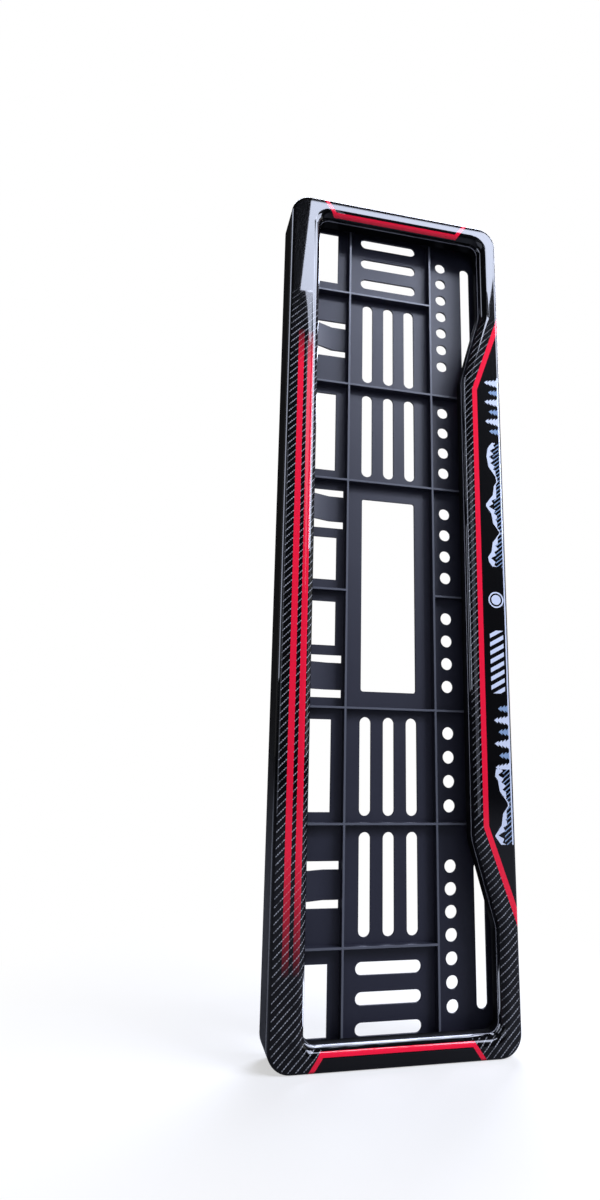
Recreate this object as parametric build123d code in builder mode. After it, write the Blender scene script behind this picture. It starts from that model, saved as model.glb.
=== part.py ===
"""Number plate holder: a ribbed back plate and the frame that clips over it.

The holder stands on one short end, as it is shown before fitting. X runs across it, Y from its front to its
back, Z up its length. On the car it lies on its side, with the panel of the frame below the plate.
"""
from build123d import *
import os

os.makedirs("parts", exist_ok=True)

# Number plate that the holder carries
plate_length = 500.0
plate_height = 120.0
plate_space = 2.9
plate_play = 0.8

# Margins from the plate's edges to the outside of the holder
end_margin = 7.0
latch_margin = 15.1
panel_margin = 6.9
corner_radius = 12.5

# Front frame: bands, rounded edges and the lip that overlaps the plate
frame_side = 6.0
frame_skin = 2.2
outer_round = 2.2
inner_round = 5.5
lip_overlap = 4.65
lip_depth = 11.6
lip_thickness = 2.2
opening_radius = 6.2

# Panel that steps into the opening along one long side
panel_reach = 13.6
panel_crest = 287.0
panel_foot = 382.0
panel_bend = 22.0
panel_webs = 5
panel_web_pitch = 60.0

# Skirt of the frame inside the tray's wall, and the lugs that hold it on the panel side
skirt_thickness = 1.4
skirt_depth = 3.0
fit_gap = 0.25
lug_width = 14.0
lug_depth = 1.4
lug_reach = 1.0

# Square cuts that part the frame into straight lengths
end_cut_margin = 1.8
panel_cut_margin = 3.3

# Back plate: wall, floor and ribs
tray_wall = 2.0
floor_thickness = 1.3
standoff = 4.4
back_rim = 5.0
back_chamfer = 1.0
seam_chamfer = 0.5
rib_height = 5.0
rib_thickness = 1.2

# Columns and rows between the ribs, heights measured from the middle
middle_column = 56.5
column_offset = 0.6
centre_row = 70.7
inner_row = 65.6
outer_row = 65.6

# Shifts of the cut-outs from the middle of their rows, towards the ends
row_shift = 0.6
end_row_shift = 1.1
end_zone_shift = 2.75
inner_hole_shift = 1.8
centre_hole_shift = -0.9

# Screw slots and the window of the middle column
slot_width = 7.0
slot_pitch = 14.5
slot_count = 3
slot_land = 3.9
cross_slot_length = 39.0
cross_slot_pitch = 15.4
centre_window_width = 35.0
centre_window_length = 121.2
centre_window_radius = 1.5

# Round holes and end slots of the column on the panel side
hole_radius = 3.75
hole_line = 10.1
row_hole_count = 4
row_hole_pitch = 14.2
end_hole_count = 7
end_hole_pitch = 12.55
end_slot_length = 80.0
end_slot_width = 6.8
end_slot_inset = 7.0

# Windows of the column on the latch side
window_land = 6.5
window_side_land = 7.2
end_window_land = 8.0
middle_window_length = 27.0
middle_window_side_land = 5.5
middle_window_land = 6.2

# Spring tongues cut free of the floor, and the frame's hooks behind their tips
tongue_width = 16.1
tongue_gap = 4.6
tongue_flat = 9.5
tongue_ramp = 9.5
tongue_drop = 1.4
tongue_tip_margin = 10.3
inner_tongue_land = 18.4
tongue_root_land = 0.8
tongue_well_land = 4.5
hook_width = 10.0
hook_thickness = 1.8
hook_catch = 1.8
hook_nose = 1.6

# Stops around the plate
stop_width = 8.0
stop_drop = 0.4

# Overall size and levels, as depths from the front
length = plate_length + 2 * end_margin
width = plate_height + latch_margin + panel_margin
rib_level = lip_depth + plate_space
floor_level = rib_level + rib_height
floor_back = floor_level + floor_thickness
depth = floor_back + standoff
stop_level = lip_depth + stop_drop
skirt_level = frame_side + skirt_depth
shelf_level = rib_level + tongue_drop

# Lines across the holder
latch_wall = -width / 2 + tray_wall
panel_wall = width / 2 - tray_wall
plate_latch_edge = -width / 2 + latch_margin
plate_panel_edge = width / 2 - panel_margin
stop_face = plate_latch_edge - plate_play
stop_line = stop_face - rib_thickness / 2
latch_rib = column_offset - middle_column / 2
panel_rib = column_offset + middle_column / 2
opening_latch = plate_latch_edge + lip_overlap
opening_panel = plate_panel_edge - lip_overlap
opening_crest = opening_panel - panel_reach
frame_rim = tray_wall + fit_gap + skirt_thickness
hole_column = panel_rib + hole_line
end_slot_column = plate_panel_edge - end_slot_inset

# Lines up the holder, from its middle
end_wall = length / 2 - tray_wall
plate_end = plate_length / 2
opening_end = plate_end - lip_overlap
inner_rib = centre_row
middle_rib = inner_rib + inner_row
outer_rib = middle_rib + outer_row
end_row = end_wall - outer_rib
inner_row_middle = (inner_rib + middle_rib) / 2
outer_row_middle = (middle_rib + outer_rib) / 2
end_row_middle = (outer_rib + end_wall) / 2
end_zone_middle = (middle_rib + end_wall) / 2
outer_tongue = outer_row_middle + row_shift
inner_tongue = inner_rib - inner_tongue_land
end_cut = opening_end - end_cut_margin
panel_cut = panel_foot / 2 + panel_cut_margin
tongue_heights = [-outer_tongue, -inner_tongue, inner_tongue, outer_tongue]
lug_heights = [-middle_rib, -inner_rib / 2, inner_rib / 2, middle_rib]

# Tongue lines, from its root beside the rib to its tip in front of the hook
tongue_root = latch_rib - rib_thickness / 2 - tongue_root_land
tongue_fold = tongue_root - tongue_flat
tongue_crest = tongue_fold - tongue_ramp
tongue_tip = -width / 2 + tongue_tip_margin
well_end = latch_wall + tongue_well_land
well_height = tongue_width + 2 * tongue_gap
hook_face = tongue_tip - fit_gap
hook_back = hook_face - hook_thickness
hook_level = shelf_level + floor_thickness + fit_gap
hook_end = hook_level + hook_nose


def across(level):
    """Y of a level, with the middle of the holder's depth at zero."""
    return level - depth / 2


def face_plane(level):
    """Plane at a depth from the front: local x across, local y up from the middle, normal to the front."""
    return Plane(origin=(0, across(level), length / 2), x_dir=(1, 0, 0), z_dir=(0, -1, 0))


def height_plane(height):
    """Level plane at a height from the middle, for sections that are drawn in X and Y."""
    return Plane.XY.offset(length / 2 + height)


def bar(start, end, height, thickness=rib_thickness):
    """Rectangle across the holder from start to end, centred on a height."""
    with Locations(((start + end) / 2, height)):
        Rectangle(end - start, thickness)


def column_window(start, end, low, high):
    """Window between two lines across and two heights."""
    with Locations(((start + end) / 2, (low + high) / 2)):
        Rectangle(end - start, abs(high - low))


# Outline of the opening, with the panel stepping in, and the same grown by the lip's thickness
with BuildSketch() as opening:
    with BuildLine():
        Polyline(
            (opening_latch, opening_end),
            (opening_latch, -opening_end),
            (opening_panel, -opening_end),
            (opening_panel, -panel_foot / 2),
            (opening_crest, -panel_crest / 2),
            (opening_crest, panel_crest / 2),
            (opening_panel, panel_foot / 2),
            (opening_panel, opening_end),
            close=True,
        )
    make_face()
    bends_end = (opening_end + panel_foot / 2) / 2
    fillet(opening.vertices().filter_by(lambda v: abs(v.Y) < bends_end), panel_bend)
    fillet(opening.vertices().filter_by(lambda v: abs(v.Y) > bends_end), opening_radius)

with BuildSketch() as lip_outline:
    add(opening.sketch)
    offset(amount=lip_thickness, kind=Kind.ARC)

# Back plate
with BuildPart() as back_plate:
    # Tray with its outer wall, relieved behind the floor
    with BuildSketch(face_plane(depth)):
        RectangleRounded(width, length, corner_radius)
    extrude(amount=depth - frame_side)
    chamfer(back_plate.faces().sort_by(Axis.Y)[-1].edges(), back_chamfer)
    chamfer(back_plate.faces().sort_by(Axis.Y)[0].edges(), seam_chamfer)
    with BuildSketch(face_plane(floor_level)):
        RectangleRounded(width - 2 * tray_wall, length - 2 * tray_wall, corner_radius - tray_wall)
    extrude(amount=floor_level - frame_side, mode=Mode.SUBTRACT)
    with BuildSketch(face_plane(depth)):
        RectangleRounded(width - 2 * back_rim, length - 2 * back_rim, corner_radius - back_rim)
    extrude(amount=standoff, mode=Mode.SUBTRACT)

    # Long ribs and cross ribs
    with BuildSketch(face_plane(floor_level)):
        with Locations((latch_rib, 0), (panel_rib, 0)):
            Rectangle(rib_thickness, length - tray_wall)
        bar(stop_line, latch_rib, 0)
        bar(panel_rib, panel_wall + tray_wall / 2, 0)
        for side in (-1, 1):
            bar(stop_line, panel_wall + tray_wall / 2, side * inner_rib)
            bar(stop_line, panel_wall + tray_wall / 2, side * middle_rib)
            bar(stop_line, panel_rib, side * outer_rib)
    extrude(amount=rib_height)

    # Stops around the plate: a long rib on the latch side, pads at the rib ends on the other three
    with BuildSketch(face_plane(floor_level)):
        with Locations((stop_line, 0)):
            Rectangle(rib_thickness, length - tray_wall)
        for height in (-middle_rib, -inner_rib, 0, inner_rib, middle_rib):
            bar(plate_panel_edge + plate_play, panel_wall + tray_wall / 2, height, stop_width)
        for side in (-1, 1):
            with Locations(*[(x, side * (plate_end + plate_play + end_wall + tray_wall) / 2)
                             for x in (latch_rib, panel_rib)]):
                Rectangle(stop_width, end_wall + tray_wall - plate_end - plate_play)
    extrude(amount=floor_level - stop_level)

    # Screw slots and the window of the middle column
    with BuildSketch(face_plane(depth)):
        for side in (-1, 1):
            for row, middle in ((inner_row, inner_row_middle), (outer_row, outer_row_middle)):
                with Locations((column_offset, side * (middle + row_shift))):
                    with GridLocations(slot_pitch, 0, slot_count, 1):
                        SlotOverall(row - rib_thickness - 2 * slot_land, slot_width, rotation=90)
            end_slots = 1 + int((end_row - 2 * slot_land - slot_width) / cross_slot_pitch)
            with Locations((column_offset, side * (end_row_middle + end_row_shift))):
                with GridLocations(0, cross_slot_pitch, 1, end_slots):
                    SlotOverall(cross_slot_length, slot_width)
        with Locations((column_offset, 0)):
            RectangleRounded(centre_window_width, centre_window_length, centre_window_radius)
    extrude(amount=depth - floor_level, mode=Mode.SUBTRACT)

    # Round holes and end slots on the panel side
    with BuildSketch(face_plane(depth)):
        for side in (-1, 1):
            for height in (inner_rib / 2 + centre_hole_shift, inner_row_middle + inner_hole_shift):
                with Locations((hole_column, side * height)):
                    with GridLocations(0, row_hole_pitch, 1, row_hole_count):
                        Circle(hole_radius)
            with Locations((hole_column, side * (end_zone_middle + end_zone_shift))):
                with GridLocations(0, end_hole_pitch, 1, end_hole_count):
                    Circle(hole_radius)
            with Locations((end_slot_column, side * (end_zone_middle + end_zone_shift))):
                SlotOverall(end_slot_length, end_slot_width, rotation=90)
    extrude(amount=depth - floor_level, mode=Mode.SUBTRACT)

    # Windows and tongue wells on the latch side
    with BuildSketch(face_plane(depth)):
        start = stop_face + rib_thickness
        end = latch_rib - window_side_land
        for side in (-1, 1):
            low = side * (middle_window_land + rib_thickness / 2)
            column_window(start, latch_rib - middle_window_side_land, low, low + side * middle_window_length)
            low = side * (inner_rib + window_land + row_shift)
            column_window(start, end, low, side * (middle_rib - window_land + row_shift))
            low = side * (outer_rib + end_window_land + end_row_shift)
            column_window(start, end, low, side * (end_wall - end_window_land + end_row_shift))
    extrude(amount=depth - floor_level, mode=Mode.SUBTRACT)
    with BuildSketch(face_plane(depth)):
        for height in tongue_heights:
            column_window(well_end, tongue_root, height - well_height / 2, height + well_height / 2)
    extrude(amount=depth - stop_level, mode=Mode.SUBTRACT)

    # Spring tongues: flat beside the rib, a ramp, then a raised shelf
    for height in tongue_heights:
        with BuildSketch(height_plane(height - tongue_width / 2)):
            with BuildLine():
                Polyline(
                    (latch_rib, across(floor_level)),
                    (tongue_fold, across(floor_level)),
                    (tongue_crest, across(shelf_level)),
                    (tongue_tip, across(shelf_level)),
                    (tongue_tip, across(shelf_level + floor_thickness)),
                    (tongue_crest, across(shelf_level + floor_thickness)),
                    (tongue_fold, across(floor_back)),
                    (latch_rib, across(floor_back)),
                    close=True,
                )
            make_face()
        extrude(amount=tongue_width)

    # Pockets for the frame's lugs
    with BuildSketch(face_plane(skirt_level + fit_gap)):
        for height in lug_heights:
            bar(panel_wall, panel_wall + lug_reach, height, lug_width + 2 * fit_gap)
    extrude(amount=lug_depth + 2 * fit_gap, mode=Mode.SUBTRACT)
back_plate.part.label = "back_plate"
export_step(back_plate.part, "parts/back_plate.step")

# Front frame
with BuildPart() as front_frame:
    # Flat band over the tray's wall, with the lip's wall standing behind it around the opening
    with BuildSketch(face_plane(frame_side)):
        RectangleRounded(width, length, corner_radius)
    extrude(amount=frame_side)
    chamfer(front_frame.faces().sort_by(Axis.Y)[-1].edges(), seam_chamfer)
    with BuildSketch(face_plane(lip_depth)):
        add(lip_outline.sketch)
    extrude(amount=lip_depth - frame_skin)
    with BuildSketch(face_plane(lip_depth)):
        add(opening.sketch)
    extrude(amount=lip_depth, mode=Mode.SUBTRACT)

    # Rounded front edges
    fillet(front_frame.faces().sort_by(Axis.Y)[0].outer_wire().edges(), outer_round)
    fillet(front_frame.faces().sort_by(Axis.Y)[0].inner_wires()[0].edges(), inner_round)

    # Hollow back, sloped beside the lip where the front edge is rounded
    with BuildSketch(face_plane(frame_side)):
        RectangleRounded(width - 2 * frame_rim, length - 2 * frame_rim, corner_radius - frame_rim)
        add(lip_outline.sketch, mode=Mode.SUBTRACT)
    extrude(amount=frame_side - frame_skin, mode=Mode.SUBTRACT)
    ceiling = front_frame.faces().filter_by(Axis.Y).sort_by(Axis.Y)[1]
    chamfer(ceiling.inner_wires()[0].edges(), inner_round - lip_thickness)

    # Skirt inside the tray's wall, clear of the corners, and its lugs
    with BuildSketch(face_plane(skirt_level)):
        with GridLocations(width - 2 * frame_rim + skirt_thickness, 0, 2, 1):
            Rectangle(skirt_thickness, length - 2 * corner_radius)
        with GridLocations(0, length - 2 * frame_rim + skirt_thickness, 1, 2):
            Rectangle(width - 2 * corner_radius, skirt_thickness)
    extrude(amount=skirt_depth)
    with BuildSketch(face_plane(skirt_level)):
        for height in lug_heights:
            bar(panel_wall - fit_gap - skirt_thickness, panel_wall - fit_gap + lug_reach, height, lug_width)
    extrude(amount=lug_depth)

    # Webs behind the panel
    with BuildSketch(face_plane(frame_side)):
        with Locations(((opening_crest + panel_wall) / 2, 0)):
            with GridLocations(0, panel_web_pitch, 1, panel_webs):
                Rectangle(panel_wall - opening_crest - lip_thickness, rib_thickness)
    extrude(amount=frame_side - frame_skin)

    # Hooks behind the tongues' tips
    for height in tongue_heights:
        with BuildSketch(height_plane(height - hook_width / 2)):
            with BuildLine():
                Polyline(
                    (hook_back, across(frame_skin)),
                    (hook_face, across(frame_skin)),
                    (hook_face, across(hook_level)),
                    (hook_face + hook_catch, across(hook_level)),
                    (hook_face, across(hook_end)),
                    (hook_back, across(hook_end)),
                    close=True,
                )
            make_face()
        extrude(amount=hook_width)

    # Square cuts across the opening's corners and the panel's foot, which part the frame into straight lengths
    for cut in (-end_cut, -panel_cut, panel_cut, end_cut):
        split(bisect_by=height_plane(cut), keep=Keep.BOTH)
front_frame.part.label = "front_frame"
export_step(front_frame.part, "parts/front_frame.step")
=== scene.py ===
# %% [markdown]
# # A car number plate holder
# The holder is two plastic mouldings. A matte tray is screwed to the car, and a glossy printed frame
# clips over it and keeps the plate in. Here it stands on one short end, as it would on a shop's table.
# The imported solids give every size. This lesson finishes their edges, prints the frame and lights both.

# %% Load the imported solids
import math

import bpy
from mathutils import Matrix, Quaternion, Vector


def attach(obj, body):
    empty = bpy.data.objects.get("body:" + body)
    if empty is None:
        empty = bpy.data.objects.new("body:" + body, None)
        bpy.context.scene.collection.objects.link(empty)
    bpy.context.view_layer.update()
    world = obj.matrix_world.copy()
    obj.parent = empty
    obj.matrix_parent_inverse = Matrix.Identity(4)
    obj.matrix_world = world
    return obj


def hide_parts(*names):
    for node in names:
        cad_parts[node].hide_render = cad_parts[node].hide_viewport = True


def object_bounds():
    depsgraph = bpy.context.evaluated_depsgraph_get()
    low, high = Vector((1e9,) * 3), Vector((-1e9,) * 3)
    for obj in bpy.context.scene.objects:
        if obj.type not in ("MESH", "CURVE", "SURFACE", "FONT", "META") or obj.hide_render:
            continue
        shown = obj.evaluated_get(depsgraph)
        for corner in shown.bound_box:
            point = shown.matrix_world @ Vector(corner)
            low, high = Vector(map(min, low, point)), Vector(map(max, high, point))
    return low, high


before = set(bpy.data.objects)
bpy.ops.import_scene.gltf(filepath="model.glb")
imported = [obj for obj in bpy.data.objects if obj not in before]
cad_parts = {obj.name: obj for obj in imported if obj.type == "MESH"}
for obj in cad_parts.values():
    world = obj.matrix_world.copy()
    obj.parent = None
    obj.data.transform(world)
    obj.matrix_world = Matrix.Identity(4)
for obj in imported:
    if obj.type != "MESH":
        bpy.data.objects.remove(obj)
cad_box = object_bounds()
MM = 0.001
WIDTH, DEPTH, LENGTH = ((high - low) / MM for low, high in zip(*cad_box))
print(f"The holder is {WIDTH:.1f} mm wide, {DEPTH:.1f} mm deep and {LENGTH:.1f} mm long.")

# %% [markdown]
# ## Finishing the mouldings
# A solid from CAD comes in as loose triangles with razor edges. A moulded part has a small round on each
# edge, because plastic hardly fills a sharp corner of the tool, and that round is what catches the light
# on a rib. The rounds could be drawn in CAD, at the cost of thousands of faces. A Bevel modifier on a
# merged copy gives the same line of light, so each node is copied, merged, bevelled and shaded smooth.
# The frame's solid comes in lengths that touch, so the faces between them are taken out first.

# %% Helpers that finish a copy of a node
MERGE_DISTANCE = 0.002 * MM
FLAT_ANGLE = math.radians(0.5)
SHARP_ANGLE = math.radians(35)
EDGE_SEGMENTS = 3
JOINT_REACH = 0.02
LEVEL_FACE = 0.999


def select_only(piece):
    """Deselects everything else, so that an operator acts on this piece alone."""
    bpy.ops.object.select_all(action="DESELECT")
    piece.select_set(True)
    bpy.context.view_layer.objects.active = piece


def apply_modifier(piece, kind, **settings):
    """Adds a modifier with these settings and applies it to the mesh."""
    modifier = piece.modifiers.new(kind.lower(), kind)
    for name, value in settings.items():
        setattr(modifier, name, value)
    bpy.ops.object.modifier_apply(modifier=modifier.name)


def open_joints(piece, heights):
    """Deletes the faces between touching lengths, at heights in millimetres from the middle."""
    mesh = piece.data
    for parts in (mesh.vertices, mesh.edges, mesh.polygons):
        parts.foreach_set("select", [False] * len(parts))
    for face in mesh.polygons:
        height = abs(face.center.z / MM - LENGTH / 2)
        at_joint = any(abs(height - joint) < JOINT_REACH for joint in heights)
        face.select = at_joint and abs(face.normal.z) > LEVEL_FACE
    bpy.context.tool_settings.mesh_select_mode = (False, False, True)
    bpy.ops.object.mode_set(mode="EDIT")
    bpy.ops.mesh.delete(type="FACE")
    bpy.ops.object.mode_set(mode="OBJECT")


def finished_copy(node, name, edge_round, fold_angle, joints=()):
    """A merged copy of a node that stands for it, with rounded edges and folds that stay crisp."""
    piece = bpy.data.objects.new(name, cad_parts[node].data.copy())
    bpy.context.scene.collection.objects.link(piece)
    select_only(piece)
    open_joints(piece, joints)
    bpy.ops.object.mode_set(mode="EDIT")
    bpy.ops.mesh.select_all(action="SELECT")
    bpy.ops.mesh.remove_doubles(threshold=MERGE_DISTANCE)
    bpy.ops.mesh.dissolve_limited(angle_limit=FLAT_ANGLE)
    bpy.ops.mesh.select_mode(type="EDGE")
    bpy.ops.mesh.select_all(action="DESELECT")
    bpy.ops.mesh.select_non_manifold()
    bpy.ops.object.mode_set(mode="OBJECT")
    open_edges = sum(edge.select for edge in piece.data.edges)
    apply_modifier(
        piece, "BEVEL", width=edge_round * MM, segments=EDGE_SEGMENTS, angle_limit=SHARP_ANGLE
    )
    bpy.ops.object.shade_smooth_by_angle(angle=math.radians(fold_angle))
    apply_modifier(piece, "WEIGHTED_NORMAL", keep_sharp=True, mode="FACE_AREA")
    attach(piece, "root")
    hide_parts(node)
    print(f"{name}: {len(piece.data.polygons)} faces, {open_edges} open edges")
    return piece


# %% Finish the tray and the frame
FRAME_JOINTS = (243.55, 194.3)

tray = finished_copy("back_plate", "ribbed_tray", edge_round=0.4, fold_angle=18)
bezel = finished_copy(
    "front_frame", "printed_frame", edge_round=0.2, fold_angle=35, joints=FRAME_JOINTS
)

# %% [markdown]
# ## Shader sums as plain expressions
# The print is made of straight lines, bands and a weave, so it is drawn with sums on the piece's own
# coordinates. Wrapping a node's output in a small class lets those sums be written as Python
# expressions, and each operator adds the Math node that it stands for.

# %% A socket with arithmetic, and a finish that makes nodes


class Socket:
    """An output of a node. Arithmetic on it adds Math nodes to the same finish."""

    def __init__(self, finish, output):
        self.finish = finish
        self.output = output

    def math(self, operation, *values):
        return self.finish.node("ShaderNodeMath", {"operation": operation}, dict(enumerate(values)))

    def __add__(self, other):
        return self.math("ADD", self, other)

    def __radd__(self, other):
        return self.math("ADD", other, self)

    def __sub__(self, other):
        return self.math("SUBTRACT", self, other)

    def __rsub__(self, other):
        return self.math("SUBTRACT", other, self)

    def __mul__(self, other):
        return self.math("MULTIPLY", self, other)

    def __rmul__(self, other):
        return self.math("MULTIPLY", other, self)

    def __truediv__(self, other):
        return self.math("DIVIDE", self, other)

    def __mod__(self, other):
        return self.math("FLOORED_MODULO", self, other)

    def __gt__(self, other):
        return self.math("GREATER_THAN", self, other)

    def __lt__(self, other):
        return self.math("LESS_THAN", self, other)

    def __abs__(self):
        return self.math("ABSOLUTE", self)

    def __or__(self, other):
        return self.math("MAXIMUM", self, other)

    def __and__(self, other):
        return self.math("MINIMUM", self, other)

    def hypot(self, other):
        return self.math("SQRT", self * self + other * other)

    def sine(self):
        return self.math("SINE", self)

    def arccos(self):
        return self.math("ARCCOSINE", self)

    def rise(self, start, end):
        """0 before start, 1 after end, and a straight slope between them."""
        return self.finish.node("ShaderNodeMapRange", {"clamp": True}, {0: self, 1: start, 2: end})


class Finish:
    """A material or a world, with one method that adds any node to it."""

    def __init__(self, owner):
        owner.use_nodes = True
        self.owner = owner
        self.tree = owner.node_tree
        self.tree.nodes.clear()

    def node(self, kind, settings=None, sockets=None, out=0):
        made = self.tree.nodes.new(kind)
        for name, value in (settings or {}).items():
            setattr(made, name, value)
        for key, value in (sockets or {}).items():
            if isinstance(value, Socket):
                self.tree.links.new(value.output, made.inputs[key])
            else:
                made.inputs[key].default_value = value
        return Socket(self, made.outputs[out]) if made.outputs else made

    def place(self):
        """Millimetres across from the middle, behind the front face and up from the middle."""
        spot = self.node("ShaderNodeTexCoord", out="Object")
        parts = [self.node("ShaderNodeSeparateXYZ", {}, {0: spot}, out=axis) for axis in range(3)]
        across, behind, up = (part / MM for part in parts)
        return across, behind + DEPTH / 2, up - LENGTH / 2

    def paint(self, factor, under, over):
        """One colour over another, as far as the factor says."""
        return self.node(
            "ShaderNodeMix", {"data_type": "RGBA"}, {0: factor, 6: under, 7: over}, out=2
        )

    def noise(self, size):
        """Grey noise from 0 to 1 whose grains are about this many millimetres."""
        spot = self.node("ShaderNodeTexCoord", out="Object")
        return self.node("ShaderNodeTexNoise", {}, {"Vector": spot, "Scale": 1 / (size * MM)})


def coloured(red, green, blue):
    return (red, green, blue, 1.0)


print("Socket sums and finishes are ready.")

# %% [markdown]
# ## The tray's plastic
# The tray looks like black polypropylene with a fine spark-eroded texture, matte with a broad sheen that
# turns bluish under a cool lamp. A grain far smaller than a rib breaks the sheen up, and a slow cloud in
# the roughness keeps the large flat areas from looking drawn. The tops of the ribs are smoother, as if
# rubbed by every plate that goes in, and paler: the pale colour is a painted highlight for the line of
# light along each rib top. That could be painted by hand. Here it comes from the depth, because all ribs
# end at the same level. The outer wall gets a deeper black, painted shade for the shade below the frame's
# rim.

# %% Make the tray's finish
TRAY_BLACK = coloured(0.018, 0.0185, 0.030)
TRAY_BLACK_WORN = coloured(0.024, 0.0245, 0.039)
# Painted highlight: the rib tops get this paler colour for the line of light along them.
RIB_TOP_PAINTED_HIGHLIGHT = coloured(0.115, 0.120, 0.140)
# Painted shade: the outer wall gets a deeper black for the shade below the frame's rim.
WALL_PAINTED_SHADE = coloured(0.006, 0.006, 0.008)
RIB_TOP = 14.5
RIB_TOP_BAND_DEPTH = (1.0, 0.3)
WALL = 5.0
SHEEN = 0.38
UNEVEN = 0.06
RUB_SHINE = 0.12
CLOUD_SIZE = 38
GRAIN_SIZE = 0.35
GRAIN_STRENGTH = 0.12
GRAIN_HEIGHT = 0.05
PLASTIC_IOR = 1.5

plastic = Finish(bpy.data.materials.new("moulded_tray_plastic"))
across, behind, up = plastic.place()
cloud = plastic.noise(size=CLOUD_SIZE)
grain = plastic.noise(size=GRAIN_SIZE)
inside = (abs(across) < WIDTH / 2 - WALL) * (abs(up) < LENGTH / 2 - WALL)
# Painted highlight on the rib tops, which also get a smoother roughness.
rib_top_highlight_and_rub = (behind - RIB_TOP).rise(*RIB_TOP_BAND_DEPTH) * inside
tray_tone_and_wall_shade = plastic.paint(cloud, TRAY_BLACK, TRAY_BLACK_WORN)
# Painted shade: outside the ribbed inside, the wall gets the deeper black.
tray_tone_and_wall_shade = plastic.paint(inside, WALL_PAINTED_SHADE, tray_tone_and_wall_shade)
surface = plastic.node(
    "ShaderNodeBsdfPrincipled",
    {},
    {
        "Base Color": plastic.paint(rib_top_highlight_and_rub, tray_tone_and_wall_shade, RIB_TOP_PAINTED_HIGHLIGHT),
        "Roughness": SHEEN + UNEVEN * (cloud + grain) - RUB_SHINE * rib_top_highlight_and_rub,
        "Normal": plastic.node(
            "ShaderNodeBump",
            {},
            {"Strength": GRAIN_STRENGTH, "Distance": GRAIN_HEIGHT * MM, "Height": grain},
        ),
        "IOR": PLASTIC_IOR,
    },
)
plastic.node("ShaderNodeOutputMaterial", {}, {"Surface": surface})
tray.data.materials.clear()
tray.data.materials.append(plastic.owner)
print("Tray finish:", plastic.owner.name)

# %% [markdown]
# ## Where the print lies on the frame
# The frame's front is printed film under a clear gloss. Red lines divide it. Two stripes run up the
# latch side and fade out near the ends. A red line follows the inner edge of the panel and slants out to
# the frame's edge at both ends, and a shorter one does the same on each short side. Each slanting line is
# the border of a corner region, so its distance comes from the lesser of two distances.

# %% Lines of the print, in millimetres from the holder's middle
CORNER_RADIUS = 12.5
STRIPES = ((-64.6, -61.0), (-58.7, -55.1))
STRIPE_FADE_UP = (161.0, 137.0)
STRIPE_FADE_DOWN = (-211.0, -148.0)
PANEL_LINE = 52.7
PANEL_LINE_BEND = 136.0
PANEL_LINE_SLOPE = 0.357
PANEL_LINE_HALF = 1.65
PRINT_DROP = 0.4
END_LINE = 247.8
END_LINE_BEND = 42.2
END_LINE_SLOPE = 1.4
END_LINE_HALF = 1.2
OUTER_PRINT_DEPTH = 1.1
INNER_PRINT_DEPTH = 5.0
FILM_EDGE_DEPTH = 5.8
OUTER_RIM = 3.0
INNER_RIM = 4.0

print_finish = Finish(bpy.data.materials.new("printed_gloss"))
across, behind, up = print_finish.place()
reach_x = (abs(across) - (WIDTH / 2 - CORNER_RADIUS)) | 0.0
reach_z = (abs(up) - (LENGTH / 2 - CORNER_RADIUS)) | 0.0
from_edge = CORNER_RADIUS - reach_x.hypot(reach_z)


def beyond(straight, bend, slope):
    """Distance past a line that runs straight and then slants outward at a bend."""
    slanted = (straight - slope * bend) / math.hypot(1.0, slope)
    return straight & slanted


past_panel_line = beyond(across - PANEL_LINE, abs(up) - PANEL_LINE_BEND, PANEL_LINE_SLOPE)
past_end_line = beyond(abs(up + PRINT_DROP) - END_LINE, abs(across) - END_LINE_BEND, END_LINE_SLOPE)
red_line = (abs(past_panel_line) < PANEL_LINE_HALF) | (abs(past_end_line) < END_LINE_HALF)
panel = past_panel_line > PANEL_LINE_HALF
plain_end = past_end_line > END_LINE_HALF

fade = up.rise(*STRIPE_FADE_UP) * up.rise(*STRIPE_FADE_DOWN)
stripes = 0.0
for start, end in STRIPES:
    stripes = (across > start) * (across < end) + stripes
red = red_line | (stripes * fade)
printed = (behind < OUTER_PRINT_DEPTH) | ((from_edge > OUTER_RIM) * (behind < INNER_PRINT_DEPTH))
# Painted highlight: the band where the film ends on the inner wall is painted pale grey for the line of
# light along that edge.
film_edge_highlight = (from_edge > INNER_RIM) * (behind > INNER_PRINT_DEPTH) * (behind < FILM_EDGE_DEPTH)
bare_wall = (from_edge > INNER_RIM) * (behind > FILM_EDGE_DEPTH)
print("The print has a panel line, two end lines and", len(STRIPES), "stripes.")

# %% [markdown]
# ## The woven carbon look
# Carbon cloth in twill weave shows each tow where it passes over the others, one step further along in
# each row, so pale steps climb across it in diagonals. Four tows make one repeat. The diagonal is the
# remainder of row minus column, and beads along it are the single tows. The film is wrapped over the
# inner round, so distance there is counted along the arc. Flat coordinates would smear the weave instead.
# The weave fades out towards the top end, painted light: its tows shine lower down and not at the top.
# The plain middle of each short side has no weave.

# %% Draw the twill
TOW = 1.05
REPEAT = 4.0
DIAGONAL = (0.44, 0.24)
PRINT_MARGIN = 1.6
INNER_ROUND = 5.5
ROUND_START = 6.0
END_BAND = 239.0
WRAP_END = (3.0, 2.2)
MARGIN_SOFT = 0.3
UNDER_WIDTH = 0.9
BEAD_GAP = 0.15
PATCHY = (0.22, 0.58)
TOW_SHINE_PAINTED_FADE = (190.0, 165.0)
SHADE_SIZE = 3.0
CLOTH_DARK = coloured(0.001, 0.001, 0.0012)
CLOTH_UNDER = coloured(0.003, 0.003, 0.004)
CLOTH_PALE = coloured(0.52, 0.52, 0.54)

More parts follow.
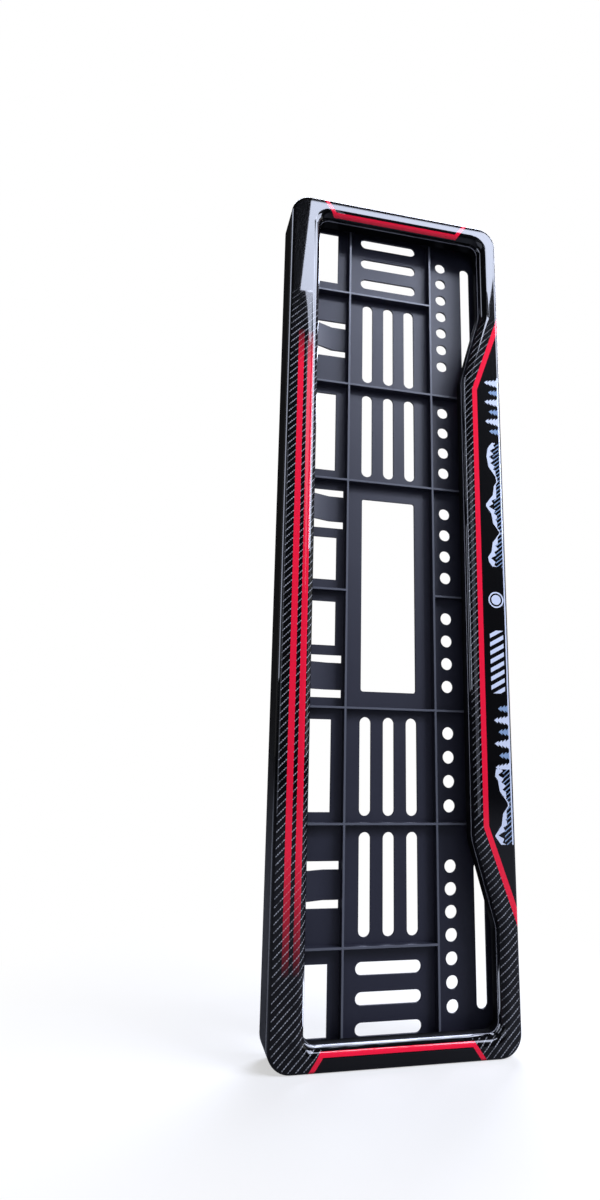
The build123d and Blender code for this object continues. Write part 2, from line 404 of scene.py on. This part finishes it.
turned = (1 - (behind & INNER_ROUND) / INNER_ROUND).arccos()
spare = INNER_ROUND * (turned - turned.sine()) * (from_edge > ROUND_START)
on_end = abs(up) > END_BAND
sideways = (across > 0.0) * 2 - 1
endways = (up > 0.0) * 2 - 1
column = (across - sideways * spare * (1 - on_end)) / TOW
row = (up - endways * spare * on_end) / TOW
from_diagonal = abs((row - column) % REPEAT - REPEAT / 2)
bead = abs(((row + column) / 2) % 1.0 - 0.5) * 2
shade = print_finish.noise(size=SHADE_SIZE)
tow = from_diagonal.rise(*DIAGONAL) * (BEAD_GAP + (1 - BEAD_GAP) * bead) * shade.rise(*PATCHY)
tow = tow * from_edge.rise(PRINT_MARGIN - MARGIN_SOFT, PRINT_MARGIN + MARGIN_SOFT)
tow = tow * behind.rise(*WRAP_END)
# Painted light: the pale tows fade towards the top end, where their shine is not seen.
tow = tow * up.rise(*TOW_SHINE_PAINTED_FADE)
tow = tow * (1 - on_end * (abs(across) < END_LINE_BEND))
under_tow = (from_diagonal - REPEAT / 2).rise(-UNDER_WIDTH, 0.0)
cloth = print_finish.paint(under_tow, CLOTH_DARK, CLOTH_UNDER)
cloth = print_finish.paint(tow, cloth, CLOTH_PALE)
print("One twill repeat is", TOW * REPEAT, "mm high.")

# %% [markdown]
# ## The picture on the panel
# The wide panel carries a pale picture whose ground lies along the frame's outer edge. Here it is an
# evening in the mountains: pines, peaks with snow, a low sun and a run of slanted bars. Every outline is
# a sum of straight zigzags or a circle, so the picture needs no image and stays sharp at any size.

# %% Helpers for the picture, in millimetres from its ground
PINE_SLOPE = 0.20
TIER_SLOPE = 0.55
TIER = 2.3
inward = WIDTH / 2 - PRINT_MARGIN - across


def zigzag(pitch, height, shift):
    """A line that rises and falls between 0 and height along the panel."""
    return abs((up + shift) % pitch - pitch / 2) * (2 * height / pitch)


def between(low, high):
    """1 on the stretch of the panel between two heights."""
    return (up > low) * (up < high)


def pines(pitch, tall, shift):
    """A row of pines, each a stack of tiers that narrows to its tip."""
    below_tip = tall - inward
    half = PINE_SLOPE * below_tip + TIER_SLOPE * (below_tip % TIER)
    from_trunk = abs((up + shift) % pitch - pitch / 2)
    return (from_trunk < half) * (below_tip > 0.0)


print("The picture starts", PRINT_MARGIN, "mm inside the edge.")

# %% Draw the peaks and the pines
PICTURE_END = 146.0
UPPER_PEAKS = (18.0, 100.0)
LOWER_PEAKS = (-PICTURE_END, -104.0)
UPPER_PINES = (104.0, PICTURE_END)
LOWER_PINES = (-104.0, -66.0)
GROUND = 0.9
FOOT = 1.8
OUTLINE_HALF = 0.38
SNOW_LEAST = 1.5
SNOW_FOOT = 3.8
HATCH_PITCH = 2.7
HATCH_LINE = 0.7
HATCH_LEAN = 0.8
HATCH_TOP = 5.4

on_panel = panel * (abs(up) < PICTURE_END) * (inward > 0.0)
high_peaks = zigzag(pitch=33.0, height=7.5, shift=9.0)
low_peaks = zigzag(pitch=12.5, height=1.8, shift=4.0)
below_peak = high_peaks + low_peaks + FOOT - inward
in_peaks = between(*UPPER_PEAKS) | between(*LOWER_PEAKS)
in_pines = between(*UPPER_PINES) | between(*LOWER_PINES)
snow_line = zigzag(pitch=4.2, height=2.6, shift=0.0) + SNOW_LEAST
snow = (below_peak > 0.0) * (below_peak < snow_line) * (inward > SNOW_FOOT)
hatch = ((up + HATCH_LEAN * inward) % HATCH_PITCH) < HATCH_LINE
hatch = hatch * (below_peak > 0.0) * (inward < HATCH_TOP)
peaks = (abs(below_peak) < OUTLINE_HALF) | snow
near_pines = pines(pitch=13.6, tall=9.8, shift=1.0)
far_pines = pines(pitch=13.6, tall=7.2, shift=7.8)
misty = ((hatch * in_peaks) | (far_pines * in_pines)) * on_panel
print("The picture spans", 2 * PICTURE_END, "mm of the panel.")

# %% Draw the sun and the bars
SUN_HEIGHT = -3.0
SUN_INWARD = 6.2
SUN_RADIUS = 5.0
RING_RADIUS = 3.6
RING_HALF = 0.5
BAR_PITCH = 5.2
BAR_LEAN = 0.55
BARS_FROM, BARS_TO = 2.2, 11.0
BARS_STRETCH = (-60.0, -22.0)

from_sun = (up - SUN_HEIGHT).hypot(inward - SUN_INWARD)
sun = (from_sun < SUN_RADIUS) * (abs(from_sun - RING_RADIUS) > RING_HALF)
bars = ((up + BAR_LEAN * inward) % BAR_PITCH) < BAR_PITCH / 2
bars = bars * (inward > BARS_FROM) * (inward < BARS_TO) * between(*BARS_STRETCH)
pale = (inward < GROUND) | (peaks * in_peaks) | (near_pines * in_pines) | sun | bars
pale = pale * on_panel
print("The sun is", 2 * SUN_RADIUS, "mm wide.")

# %% [markdown]
# ## One gloss over everything
# All the inks lie under the same clear layer, so there is a single shader. The inks change only the base
# colour, and the clear coat on top stays smooth and gives the mirror-like lines along the rounds. The
# inner wall behind the film has no print and hardly any coat, so it is rougher and stays dark.

# %% Make the printed gloss
GLOSS_BLACK = coloured(0.003, 0.003, 0.0035)
INK_RED = coloured(0.98, 0.013, 0.048)
INK_PALE = coloured(0.70, 0.75, 0.86)
INK_MISTY = coloured(0.27, 0.38, 0.55)
# Painted highlight: the pale grey of the film's edge on the inner wall.
FILM_EDGE_HIGHLIGHT_GREY = coloured(0.28, 0.28, 0.30)
INK_ROUGHNESS = 0.22
INK_UNEVEN = 0.05
WALL_ROUGHER = 0.3
INK_SHINE = 0.02
WALL_COAT_LOSS = 0.9
COAT_ROUGHNESS = 0.02
COAT_IOR = 1.5

ink = print_finish.paint(panel | plain_end, cloth, GLOSS_BLACK)
ink = print_finish.paint(misty, ink, INK_MISTY)
ink = print_finish.paint(pale, ink, INK_PALE)
ink = print_finish.paint(red, ink, INK_RED)
ink = print_finish.paint(printed, GLOSS_BLACK, ink)
# Painted highlight along the film's edge on the inner wall.
ink = print_finish.paint(film_edge_highlight, ink, FILM_EDGE_HIGHLIGHT_GREY)
surface = print_finish.node(
    "ShaderNodeBsdfPrincipled",
    {},
    {
        "Base Color": ink,
        "Roughness": INK_ROUGHNESS + INK_UNEVEN * shade + WALL_ROUGHER * bare_wall,
        "IOR": PLASTIC_IOR,
        "Specular IOR Level": INK_SHINE,
        "Coat Weight": 1 - WALL_COAT_LOSS * bare_wall,
        "Coat Roughness": COAT_ROUGHNESS,
        "Coat IOR": COAT_IOR,
    },
)
print_finish.node("ShaderNodeOutputMaterial", {}, {"Surface": surface})
bezel.data.materials.clear()
bezel.data.materials.append(print_finish.owner)
print("Frame finish:", print_finish.owner.name, "with", len(print_finish.tree.nodes), "nodes")

# %% [markdown]
# ## Floor and background
# The holder stands on white paper that runs into a white background. The paper takes the holder's shadow,
# and white light mixed in with the distance hides where it ends. Black gloss shows whatever is around it,
# so the room that it mirrors is nearly dark, and white only far to the panel's side. The paper is a
# darker grey to every ray but the camera's. White all round would turn the black print grey.

# %% Lay the floor and set the background
FLOOR_SIZE = 12.0
WHITE_NEAR = 0.55
FADE_NEAR = 0.05
FADE_FAR = 0.30
AMBIENT = 0.04
DARK_ROOM = 0.03
WHITE_WALL = (0.84, 0.97)
PAPER_SEEN = coloured(0.97, 0.95, 0.91)
PAPER_FELT = coloured(0.16, 0.16, 0.17)
PAPER_ROUGHNESS = 0.7
PAPER_UNEVEN = 0.1
PAPER_GRAIN = 20
WHITE = coloured(1, 1, 1)

bpy.ops.mesh.primitive_plane_add(size=FLOOR_SIZE)
floor = bpy.context.object
floor.name = "floor"
sweep = Finish(bpy.data.materials.new("white_sweep"))
spot = sweep.node("ShaderNodeTexCoord", out="Object")
away = sweep.node("ShaderNodeVectorMath", {"operation": "LENGTH"}, {0: spot}, out="Value")
seen = sweep.node("ShaderNodeLightPath", out="Is Camera Ray")
paper = sweep.node(
    "ShaderNodeBsdfPrincipled",
    {},
    {
        "Base Color": sweep.paint(seen, PAPER_FELT, PAPER_SEEN),
        "Roughness": PAPER_ROUGHNESS + PAPER_UNEVEN * sweep.noise(size=PAPER_GRAIN),
    },
)
white = sweep.node("ShaderNodeEmission", {}, {"Color": WHITE, "Strength": 1.0})
whiteness = WHITE_NEAR + (1 - WHITE_NEAR) * away.rise(FADE_NEAR, FADE_FAR)
blend = sweep.node("ShaderNodeMixShader", {}, {0: seen * whiteness, 1: paper, 2: white})
sweep.node("ShaderNodeOutputMaterial", {}, {"Surface": blend})
floor.data.materials.append(sweep.owner)

world = bpy.data.worlds.new("studio")
bpy.context.scene.world = world
studio = Finish(world)
direction = studio.node("ShaderNodeTexCoord", out="Generated")
towards_panel = studio.node("ShaderNodeSeparateXYZ", {}, {0: direction}, out="X")
camera_ray, glossy_ray, through_ray = (
    studio.node("ShaderNodeLightPath", out=kind)
    for kind in ("Is Camera Ray", "Is Glossy Ray", "Is Transmission Ray")
)
mirrored = glossy_ray * (DARK_ROOM + (1 - DARK_ROOM) * towards_panel.rise(*WHITE_WALL))
shown = camera_ray | through_ray
level = shown | mirrored | (AMBIENT * (1 - (shown | glossy_ray)))
background = studio.node("ShaderNodeBackground", {}, {"Color": WHITE, "Strength": level})
studio.node("ShaderNodeOutputWorld", {}, {"Surface": background})
print("Floor of", FLOOR_SIZE, "m and a white background")

# %% [markdown]
# ## Soft boxes
# A gloss surface shows its lamps, so most of them hang where the frame mirrors them to the camera. The
# front box is mirrored along the top band and round its corner on the panel side. It ends short of the
# top edge, so a dark rim stays there. The side box lights the print and draws the latch side's inner round.
# Two thin strips lean, so their light on the latch side narrows to a point. A weak box on the left
# softens the shadows, and one behind lights the back and the floor there. The rim box stands to the left
# and draws the thin line along the frame's outer edge. The line on the lower lip could come from behind,
# but the tray's slots would break it into dashes, so a card of light inside the tray makes it. The rim
# box and the card reach the frame alone.

# %% Hang the soft boxes
COOL_WHITE = (0.75, 0.81, 1.0)


def soft_box(name, centre, aim, width, height, radiance, lean=0.0, spread=180.0):
    """A rectangular lamp at centre that faces aim and looks about this bright in a mirror."""
    lamp = bpy.data.lights.new(name, "AREA")
    lamp.shape = "RECTANGLE"
    lamp.size, lamp.size_y = width, height
    lamp.energy = radiance * math.pi * width * height
    lamp.color = COOL_WHITE
    lamp.spread = math.radians(spread)
    box = bpy.data.objects.new(name, lamp)
    box.location = centre
    turn = (Vector(aim) - Vector(centre)).to_track_quat("-Z", "Y")
    box.rotation_euler = (turn @ Quaternion((0, 0, 1), math.radians(lean))).to_euler()
    box.visible_camera = False
    bpy.context.scene.collection.objects.link(box)
    print(f"{name}: {width} by {height} m, {lamp.energy:.1f} W")
    return box


soft_box(
    "front_box",
    centre=(0.2220, -0.5846, 0.9408),
    aim=(0.2220, 0.2734, 0.4268),
    width=0.328,
    height=0.130,
    radiance=17.0,
)
soft_box(
    "side_box", centre=(0.948, -0.714, 1.02), aim=(0.0, 0.0, 0.28), width=0.75, height=0.80, radiance=14.2
)
soft_box(
    "left_box", centre=(-0.42, -0.92, 0.40), aim=(0.0, 0.0, 0.35), width=0.70, height=0.75, radiance=1.1
)
soft_box(
    "back_box", centre=(0.45, 0.75, 1.15), aim=(0.30, 0.60, 0.0), width=0.60, height=1.00, radiance=12.0
)

# %% Hang the strips, the card and the rim box
soft_box(
    "upper_strip",
    centre=(0.0775, -0.60, 0.829),
    aim=(0.0775, 0.0, 0.829),
    width=0.017,
    height=0.09,
    radiance=11.0,
    lean=8.0,
)
soft_box(
    "long_strip",
    centre=(0.0785, -0.60, 0.58),
    aim=(0.0785, 0.0, 0.58),
    width=0.0105,
    height=0.407,
    radiance=2.4,
    lean=1.5,
)
card = soft_box(
    "lip_card",
    centre=(0.003, 0.001, 0.027),
    aim=(0.003, -1.0, 0.027),
    width=0.090,
    height=0.022,
    radiance=8.5,
    spread=150.0,
)
rim_box = soft_box(
    "rim_box",
    centre=(-0.65, 0.05, 0.70),
    aim=(0.0, 0.05, 0.70),
    width=0.45,
    height=0.90,
    radiance=6.0,
)
frame_alone = bpy.data.collections.new("frame_alone")
frame_alone.objects.link(bezel)
for lamp in (card, rim_box):
    lamp.light_linking.receiver_collection = frame_alone

# %% [markdown]
# ## The camera
# The picture was taken from close by with a wide lens, a little below the holder's middle and looking up,
# which is why the sides lean. The camera's place and turn come from the lines of the holder itself.

# %% Set the camera
IMAGE_HEIGHT_PX = 1200
FOCAL_PX = 690.94
SENSOR = 36.0
CAMERA_PLACE = Vector((-0.14140, -0.39302, 0.16780))
YAW, PITCH, ROLL = (math.radians(angle) for angle in (-12.117, 11.327, -1.430))
NEAREST_SEEN = 0.01

lens = bpy.data.cameras.new("camera")
lens.sensor_width = SENSOR
lens.lens = FOCAL_PX / IMAGE_HEIGHT_PX * SENSOR
lens.clip_start = NEAREST_SEEN
camera = bpy.data.objects.new("camera", lens)
turn = Matrix.Rotation(YAW, 4, "Z") @ Matrix.Rotation(PITCH, 4, "X") @ Matrix.Rotation(ROLL, 4, "Y")
camera.matrix_world = (
    Matrix.Translation(CAMERA_PLACE) @ turn @ Matrix.Rotation(math.pi / 2, 4, "X")
)
bpy.context.scene.collection.objects.link(camera)
bpy.context.scene.camera = camera
bpy.context.scene.view_settings.view_transform = "Standard"
print(f"Lens of {lens.lens:.2f} mm")
